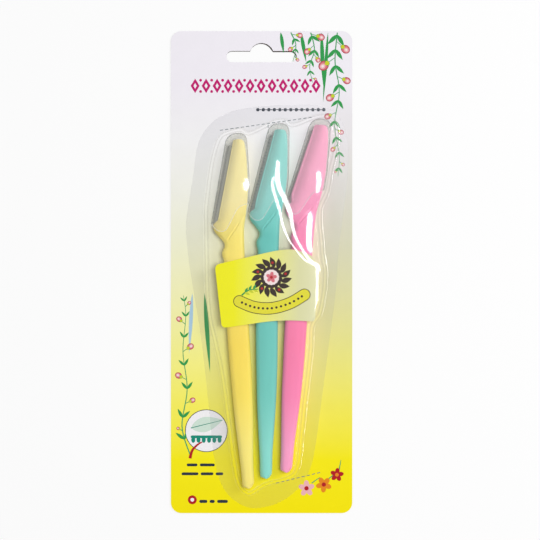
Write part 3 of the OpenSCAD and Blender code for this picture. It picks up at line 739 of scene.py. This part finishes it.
def clear_plastic(name, passes, haze, tones, gloss, rough, bends, waves=(0.3, 7.0), painted_shade_below=False):
    """Clear plastic, face by face: each lets the view through, adds a little haze, and mirrors the lamps
    over that. haze and tones are pairs, for a level face and for a bend, and bends says how much of a
    bend a face is, from upright to level. gloss is a pair too, seen straight and edge on. waves are the
    strength and the length in millimetres of the unevenness that ripples its reflections."""
    material, tree = new_material(name)
    place = add(tree, "ShaderNodeTexCoord").outputs["Object"]
    normal = add(tree, "ShaderNodeNewGeometry").outputs["Normal"]
    up = add(tree, "ShaderNodeSeparateXYZ", {0: normal}).outputs["Z"]
    level = add(tree, "ShaderNodeMath", {0: up}, operation="ABSOLUTE")
    seen = colour(passes)
    # Painted shade: faces below the razor's middle are seen through a grey tint, and faces above it are
    # seen clear.
    if painted_shade_below:
        height = add(tree, "ShaderNodeSeparateXYZ", {0: place}).outputs["Z"]
        depth = add(tree, "ShaderNodeMapRange", {
            "Value": height, "From Min": (RAZOR_Z - 0.5) * MM, "From Max": (RAZOR_Z + 0.5) * MM,
        })
        seen = add(tree, "ShaderNodeValToRGB", {"Fac": depth}, [(0.0, passes), (1.0, "#FFFFFF")])
    clear = add(tree, "ShaderNodeBsdfTransparent", {"Color": seen})
    bend = add(tree, "ShaderNodeValToRGB", {"Fac": level}, bends)
    tone = add(tree, "ShaderNodeValToRGB", {"Fac": bend}, list(zip((0.0, 1.0), tones)))
    hazy = add(tree, "ShaderNodeBsdfDiffuse", {"Color": tone})
    share = add(tree, "ShaderNodeMapRange", {"Value": bend, "To Min": haze[0], "To Max": haze[1]})
    body = add(tree, "ShaderNodeMixShader", {0: share, 1: clear, 2: hazy})
    ripple = add(tree, "ShaderNodeTexNoise", {"Vector": place, "Scale": 1 / (waves[1] * MM), "Detail": 1.0})
    bump = add(tree, "ShaderNodeBump", {"Height": ripple, "Strength": waves[0], "Distance": 0.1 * MM})
    mirror = add(tree, "ShaderNodeBsdfGlossy", {"Roughness": rough, "Normal": bump})
    fresnel = add(tree, "ShaderNodeFresnel", {"IOR": 1.5})
    sheen = add(tree, "ShaderNodeMapRange", {
        "Value": fresnel, "From Min": 0.04, "To Min": gloss[0], "To Max": gloss[1],
    })
    shader = add(tree, "ShaderNodeMixShader", {0: sheen, 1: body, 2: mirror})
    add(tree, "ShaderNodeOutputMaterial", {"Surface": shader})
    return material


def lets_light_through(piece):
    """Clear plastic this thin dims hardly any of the light that falls on what lies behind it."""
    piece.visible_shadow = False
    piece.visible_diffuse = False


# Moulded polystyrene is as clear as glass on its level faces; its rounded rims get a dark grey haze as
# painted shade. Its faces next to the card are dimmed grey, also painted shade. The mouth's cut-off
# edge is a pale frosted haze, partly its own and partly a painted highlight.
cap_plastic = clear_plastic("clear_polystyrene_cap", "#ECECE9", (0.06, 0.46), ("#F4F6F2", "#8A908D"),
                            (0.03, 0.25), 0.1, ROUNDED_RIM, painted_shade_below=True)
# Painted highlight: the mouth's pale haze stands for the line of light along it.
mouth_glint_plastic = clear_plastic("moulded_cap_mouth_painted_glint", "#FFFFFF", (0.4, 0.6), ("#FFFFFF", "#D5D8D2"),
                              (0.06, 0.3), 0.1, SLOPES)
mouth_line = curve(MOUTH, 6)
rim_ring = [(RIM_R * math.cos(math.tau * k / 8), RIM_R * math.sin(math.tau * k / 8)) for k in range(8)]
for razor in RAZORS:
    lets_light_through(dress(razor + "_cap", cap_plastic))
    rings = []
    for i, (u, v) in enumerate(mouth_line):
        nu, nv = leftward(mouth_line[max(i - 1, 0)], mouth_line[min(i + 1, len(mouth_line) - 1)])
        rings.append([in_pack(razor, u - nu * out, v - nv * out, RIM_Z + up) for out, up in rim_ring])
    rim = loft(razor + "_cap_mouth", rings, mouth_glint_plastic, razor + "_cap")
    lets_light_through(rim)

# The insert: a small semi-gloss card laid flat over the three grips, under the dome. It is printed
# in strong yellow that pales to the right, with a leaf wreath round a blossom and a plain banner.
INSERT_LOW, INSERT_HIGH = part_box("insert_card")
INSERT_FADE = [
    (0, "#F2EE00"), (0.18, "#F3EF0A"), (0.34, "#F1EF4E"), (0.6, "#E9E887"), (0.82, "#DFDEAA"),
    (1, "#E5E4B9"),
]
WREATH, WREATH_LEAVES = (4.2, -2.2), 15
dress("insert_card", printed_board("printed_insert", INSERT_FADE, "X", INSERT_LOW.x, INSERT_HIGH.x, 0.3))
insert_marks = [("pearl", 1, oval(WREATH, 4.0, 4.0, count=40))]
for i in range(WREATH_LEAVES):
    angle = 24 * i
    base = out_from(WREATH, angle, 4.6)
    insert_marks.append(("dark_brown", 2 + i % 2, leaf(base, angle + 42, 4.7, 2.3)))
    insert_marks.append(("dark_brown", 2 + i % 2, leaf(base, angle + 128, 2.8, 1.5)))
    if i % 3 == 0:
        insert_marks.append(("carmine", 4, oval(out_from(WREATH, angle + 14, 6.2), 0.55, 0.55)))
insert_marks += blossom(WREATH, 2.1, "rose", "carmine", 10)
sprig = curve([(-8.4, -9.8), (-6.4, -8.2), (-4.2, -7.4), (-1.4, -7.2)])
insert_marks += stroke("leaf_green", 4, sprig, 0.7, 0.35)
for i in (6, 12, 18):
    insert_marks.append(("leaf_green", 4, leaf(sprig[i], 62, 2.4, 1.0)))
    insert_marks.append(("lime", 4, leaf(sprig[i], -28, 2.4, 1.0)))
banner = curve([(-9.4, -12.4), (-3, -14.9), (4.4, -15.3), (12, -13.2), (18.2, -9.6)])
for ink, layer, width in [("dark_brown", 2, 5.2), ("insert_yellow", 3, 4.6)]:
    insert_marks += stroke(ink, layer, banner, width, width)
    insert_marks += [(ink, layer, oval(end, width / 2, width / 2)) for end in (banner[0], banner[-1])]
for place in banner[2:-2:2]:
    insert_marks.append(("dark_brown", 4, oval(place, 0.5, 0.5)))
print_marks("insert_print", insert_marks, "insert", INSERT_HIGH.z)

# The blister: clear PVC film, vacuum formed over the razors, with a flange that is heat sealed to
# the card. Forming leaves a wall with a shelf in it, a foot that moves in and out at the right, and
# soft steps in the roof where the film sank between the razors. These draw the bright lines on it.
FILM_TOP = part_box("blister")[1].z / MM
SEAL_Z = CARD_FRONT / MM + 0.25
ROOF_Z = FILM_TOP - 0.95
WALL = [
    (0.6, 0.25), (0.42, 0.3), (0.2, 0.44), (0.06, 0.68), (0.0, 1.1), (-0.05, 1.6), (-0.28, 3.1),
    (-0.4, 3.45), (-0.62, 3.68), (-0.95, 3.8), (-1.2, 3.98), (-1.34, 4.3), (-1.5, 5.2), (-1.75, 6.4),
    (-1.95, 6.95), (-2.25, 7.3), (-2.42, 7.46), (-2.62, 7.58), (-2.85, 7.65),
]
FOOT_BANDS = 3
FOOT_IN = [
    (-75, 0), (-67, -0.4), (-55, -1.0), (-38, -1.1), (-32, -1.0), (-27, -1.4), (-23, -1.9), (-21, -1.5),
    (-18.6, -0.7), (-12, -0.6), (-1, -0.4), (4, -0.3), (11, -0.3), (16, -0.9), (20, -1.8), (24.4, -3.0),
    (27.4, -3.9), (29.5, -3.9), (33, -3.5), (38.5, -3.4), (43.6, -3.1), (51, -1.6), (56, -0.4), (61, 0),
]
# Each step: its width at the line's start and end, its slope, and the line that it follows.
STEPS = [
    (1.3, 0.6, 0.15, [
        (6.9, 45.4), (6.7, 42.1), (6.8, 39.5), (7.5, 35.7), (9.2, 32.1), (10.7, 29.0), (12.0, 25.6),
        (12.8, 21.5), (13.6, 17.6), (14.8, 14.1), (16.7, 10.7), (18.2, 8.1), (20.0, 5.6), (22.7, 3.7),
    ]),
    (0.8, 0.4, 0.172, [
        (4.7, 38.5), (4.6, 36.7), (5.2, 34.1), (6.2, 30.8), (7.3, 27.4), (8.2, 23.6), (8.9, 20.5),
        (10.2, 16.9), (11.8, 13.5), (13.8, 10.5), (15.9, 7.9), (18.2, 5.3), (23.1, 2.6),
    ]),
    (0.5, 0.5, 0.15, [(23.7, 1.4), (23.6, -5.0), (23.4, -12.0), (23.1, -20.3)]),
    (2.1, 2.1, 0.15, [(-6.2, 38.6), (-7.1, 33.4)]),
    (0.95, 0.95, 0.14, [(24.4, 40.8), (24.3, 38.2), (23.6, 34.4)]),
    (1.3, 1.3, 0.145, [(20.7, 23.4), (20.4, 20.4), (20.1, 16.9), (20.0, 13.3), (20.1, 11.0), (20.6, 9.6)]),
]
# How steep a step still is at its ends, and the millimetres over which it dies out past them and on
# its high side.
END_SLOPE, END_FADE, HIGH_FADE = 0.62, 2, 9
HALF_ROOT_PI = 0.886
CELL, FINE, COARSE, ROW_SHARE = 4.0, 0.4, 1.2, 0.87

steps = [(first, last, slope, curve(points, 6)) for first, last, slope, points in STEPS]
cells_by_steps = {
    (round(x / CELL) + i, round(y / CELL) + j)
    for _, _, _, line in steps for x, y in line for i in (-1, 0, 1) for j in (-1, 0, 1)
}


def evened(loop, spacing):
    """The loop, anticlockwise, as a smooth line with points at a steady spacing."""
    loop = anticlockwise(loop)
    line = curve(loop[-2:] + loop + loop[:3], 4)[8:-8]
    points, since = [line[0]], 0.0
    for a, b in zip(line, line[1:]):
        since += math.hypot(b[0] - a[0], b[1] - a[1])
        if since >= spacing:
            points.append(b)
            since -= spacing
    last_gap = math.hypot(points[0][0] - points[-1][0], points[0][1] - points[-1][1])
    return points if last_gap > spacing / 2 else points[:-1]


def grown(loop, by):
    """An anticlockwise loop, moved out."""
    n = len(loop)
    out = []
    for i, (x, y) in enumerate(loop):
        (x0, y0), (x1, y1) = loop[i - 2], loop[(i + 2) % n]
        size = math.hypot(x1 - x0, y1 - y0)
        out.append((x + by * (y1 - y0) / size, y - by * (x1 - x0) / size))
    return out


def crossings(loop, y):
    """Where a loop crosses the level y."""
    return [
        a[0] + (y - a[1]) / (b[1] - a[1]) * (b[0] - a[0])
        for a, b in zip(loop, loop[1:] + loop[:1]) if (a[1] > y) != (b[1] > y)
    ]


def from_line(x, y, line):
    """A place against a line: its share of the line, its distance to the left, and how far it lies past
    either end."""
    near = 1e9
    for i, (a, b) in enumerate(zip(line, line[1:])):
        dx, dy = b[0] - a[0], b[1] - a[1]
        share = ((x - a[0]) * dx + (y - a[1]) * dy) / (dx * dx + dy * dy)
        t = min(1.0, max(0.0, share))
        far = math.hypot(x - a[0] - t * dx, y - a[1] - t * dy)
        if far < near:
            near, place = far, (i + t) / (len(line) - 1)
            size = math.hypot(dx, dy)
            side = (dx * (y - a[1]) - dy * (x - a[0])) / size
            at_end = (i == 0 and share < 0) or (i == len(line) - 2 and share > 1)
            past = abs(share - t) * size if at_end else 0.0
            side = side if at_end else math.copysign(far, side)
    return place, side, past


def roof_height(x, y):
    """The roof's height over the card's back. It steps down to the right across each line, most in
    the middle of the line, and the step fades out on its high side."""
    height = 0.0
    for first, last, steepest, line in steps:
        place, side, past = from_line(x, y, line)
        width = first + (last - first) * place
        slope = steepest * (END_SLOPE + (1 - END_SLOPE) * math.sin(math.pi * place))
        slope *= math.exp(-(past / END_FADE) ** 2)
        fall = 1 - math.erf(side / width)
        height += slope * width * HALF_ROOT_PI * fall * math.exp(-(max(0.0, -side) / HIGH_FADE) ** 2)
    return ROOF_Z + height


def grid_in(loop, spacing):
    """Places inside a loop, in staggered rows."""
    bounds = grown(loop, -spacing * 0.6)
    y, row = min(p[1] for p in loop), 0
    while y < max(p[1] for p in loop):
        cuts = sorted(crossings(bounds, y))
        for x0, x1 in zip(cuts[::2], cuts[1::2]):
            x = x0 - x0 % spacing + spacing * (1 + 0.5 * (row % 2))
            while x < x1:
                yield x, y
                x += spacing
        y += spacing * ROW_SHARE
        row += 1


def fill(points, outer, holes, height=None):
    """Triangles between loops of points, given by their numbers. With a height, new points fill the
    inside, close together beside the steps."""
    loops = [list(outer)] + [list(hole) for hole in holes]
    ids = [i for loop in loops for i in loop]
    flat = [Vector(points[i][:2]) for i in ids]
    rims, first = [], 0
    for loop in loops:
        rims += [(first + i, first + (i + 1) % len(loop)) for i in range(len(loop))]
        first += len(loop)
    for spacing in (COARSE, FINE) if height else ():
        for x, y in grid_in([points[i][:2] for i in outer], spacing):
            if ((round(x / CELL), round(y / CELL)) in cells_by_steps) == (spacing == FINE):
                flat.append(Vector((x, y)))
    verts, _, tris, sources, _, _ = geometry.delaunay_2d_cdt(flat, rims, [], 1, 1e-5)
    numbers = []
    for vert, source in zip(verts, sources):
        known = [s for s in source if s < len(ids)]
        if known:
            numbers.append(ids[known[0]])
        else:
            numbers.append(len(points))
            points.append((vert.x, vert.y, height(vert.x, vert.y)))
    return [tuple(numbers[i] for i in tri) for tri in tris]


def formed_film():
    """The film as one sheet of points in millimetres: flange, stepped wall and roof. Also gives its
    creases, and the numbers of the faces that belong to the flange and to the foot of the wall."""
    flange = level_loops(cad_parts["blister"], CARD_FRONT / MM + 0.2, CARD_FRONT / MM + 0.6)
    seal = evened(max(flange, key=size_of), 1.2)
    foot = evened(min(flange, key=size_of), 0.9)
    foot = [(x + at(FOOT_IN, y) * (x > 5), y) for x, y in foot]
    points = [(x, y, SEAL_Z - 0.2) for x, y in seal] + [(x, y, SEAL_Z) for x, y in grown(seal, -0.06)]
    n, m = len(seal), len(foot)
    faces = [(i, (i + 1) % n, n + (i + 1) % n, n + i) for i in range(n)]
    start = len(points)
    for out, up in WALL:
        points += [(x, y, CARD_FRONT / MM + up) for x, y in grown(foot, out)]
    foot_faces = range(len(faces), len(faces) + FOOT_BANDS * m)
    for k in range(len(WALL) - 1):
        a = start + k * m
        faces += [(a + i, a + (i + 1) % m, a + m + (i + 1) % m, a + m + i) for i in range(m)]
    rim, wall_foot = range(n, 2 * n), range(start, start + m)
    inner = [points[i][:2] for i in wall_foot]
    flange_from = len(faces)
    for face in fill(points, rim, [wall_foot]):
        x = sum(points[i][0] for i in face) / 3
        y = sum(points[i][1] for i in face) / 3
        in_dome = sum(x < cut for cut in crossings(inner, y)) % 2 == 1
        if not all(i in wall_foot for i in face) or not in_dome:
            faces.append(face)
    flange_faces = range(flange_from, len(faces))
    wall_top = range(start + (len(WALL) - 1) * m, start + len(WALL) * m)
    faces += fill(points, wall_top, [], roof_height)
    return points, faces, [rim, wall_foot, wall_top], flange_faces, foot_faces


# Formed film is clear and smooth, and its steep parts look a little milky. The sealed flange has a faint
# grey-blue veil where the film has bonded, and the foot of the wall is finely crinkled and sparkles.
film_materials = [
    clear_plastic("clear_pvc_film", "#FFFFFF", (0.012, 0.22), ("#F4F6F2", "#B9B5AB"), (0.035, 0.2),
                  0.12, SLOPES, waves=(0.06, 7.0)),
    clear_plastic("sealed_pvc_flange", "#F3F3F4", (0.05, 0.3), ("#B4B5C2", "#A9ABB0"), (0.02, 0.2),
                  0.2, SLOPES),
    clear_plastic("crinkled_pvc_foot", "#FFFFFF", (0.02, 0.22), ("#F4F6F2", "#C9C6BE"), (0.2, 0.6),
                  0.14, SLOPES, waves=(0.3, 1.2)),
]
film_points, film_faces, creases, flange_faces, foot_faces = formed_film()
film_points = [(x * MM, y * MM, z * MM) for x, y, z in film_points]
film = new_piece("formed_blister", film_points, film_faces, *film_materials)
film.data.shade_smooth()
for numbers, material_index in ((flange_faces, 1), (foot_faces, 2)):
    for i in numbers:
        film.data.polygons[i].material_index = material_index
for edge in film.data.edges:
    edge.use_edge_sharp = any(all(v in crease for v in edge.vertices) for crease in creases)
lets_light_through(film)
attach(film, "blister")
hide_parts("blister")

# The studio: a white paper floor, an even white surround, a low key softbox at the right, a weaker
# fill at the left, a broad softbox overhead, and two strips that only the film mirrors. The camera
# looks straight down at the pack from 0.9 m, so that the photograph's frame takes in 231 mm.
PHOTO_PIXELS, PIXEL_MM = 540, 0.4274
VIEW_CENTRE = (3.6 * MM, 0.9 * MM)
CAMERA_H = 900 * MM
FLOOR_HALF = 1.5
PAPER_HEX, WHITE_HEX = "#F7F7F7", "#FFFFFF"

# Matt white paper. Where it is looked at, it is lifted towards plain white, and keeps the shadow.
white_paper, tree = new_material("white_paper_floor")
rays = add(tree, "ShaderNodeLightPath")
seen = add(tree, "ShaderNodeMath", {0: rays.outputs["Is Camera Ray"], 1: rays.outputs["Is Glossy Ray"]},
           operation="MAXIMUM")
seen = add(tree, "ShaderNodeMath", {0: seen, 1: rays.outputs["Is Transmission Ray"]}, operation="MAXIMUM")
lifted = add(tree, "ShaderNodeMath", {0: seen, 1: 0.7}, operation="MULTIPLY")
paper = add(tree, "ShaderNodeBsdfDiffuse", {"Color": colour(PAPER_HEX)})
glow = add(tree, "ShaderNodeEmission", {"Color": colour(WHITE_HEX), "Strength": 1.0})
shader = add(tree, "ShaderNodeMixShader", {0: lifted, 1: paper, 2: glow})
add(tree, "ShaderNodeOutputMaterial", {"Surface": shader})
corners = [(x * FLOOR_HALF, y * FLOOR_HALF, 0) for x, y in ((-1, -1), (1, -1), (1, 1), (-1, 1))]
floor = new_piece("floor", corners, [(0, 1, 2, 3)], white_paper)
floor.location.z = CAD_BOX[0].z - 0.05 * MM

world = bpy.data.worlds.new("studio")
world.use_nodes = True
world.node_tree.nodes.clear()
sky = add(world.node_tree, "ShaderNodeBackground", {"Color": colour(WHITE_HEX), "Strength": 0.25})
add(world.node_tree, "ShaderNodeOutputWorld", {"Surface": sky})
bpy.context.scene.world = world


def lamp(name, lean, azimuth, distance, size, level):
    """A softbox aimed at the pack, lean degrees from overhead. level is the light that it alone
    gives a level white surface, as a share of full white."""
    lean, azimuth = math.radians(lean), math.radians(azimuth)
    away = Vector((math.sin(lean) * math.cos(azimuth), math.sin(lean) * math.sin(azimuth), math.cos(lean)))
    light = bpy.data.lights.new(name, "AREA")
    light.shape = "RECTANGLE"
    light.size, light.size_y = size
    light.energy = level * math.pi ** 2 * distance ** 2 / away.z
    thing = bpy.data.objects.new(name, light)
    thing.location = away * distance
    thing.rotation_euler = away.to_track_quat("Z", "Y").to_euler()
    bpy.context.scene.collection.objects.link(thing)
    return thing


lamp("key_softbox", 55, 20, 1.3, (0.5, 0.5), 0.15)
lamp("fill_softbox", 50, 170, 1.3, (0.6, 0.6), 0.03)
lamp("ceiling_softbox", 14, 10, 1.5, (0.75, 0.75), 0.62).visible_glossy = False
film_only = bpy.data.collections.new("film_only")
film_only.objects.link(film)
for glint in (
    lamp("overhead_strip", 14, 22, 1.0, (0.34, 0.16), 0.8),
    lamp("side_strip", 50, 0, 1.2, (0.8, 0.16), 0.15),
):
    glint.visible_diffuse = False
    glint.light_linking.receiver_collection = film_only

camera = bpy.data.objects.new("camera", bpy.data.cameras.new("camera"))
camera.data.sensor_width = 36.0
camera.data.lens = camera.data.sensor_width * CAMERA_H / (PHOTO_PIXELS * PIXEL_MM * MM)
camera.location = (*VIEW_CENTRE, CARD_FRONT + CAMERA_H)
bpy.context.scene.collection.objects.link(camera)
bpy.context.scene.camera = camera
bpy.context.scene.view_settings.view_transform = "Standard"
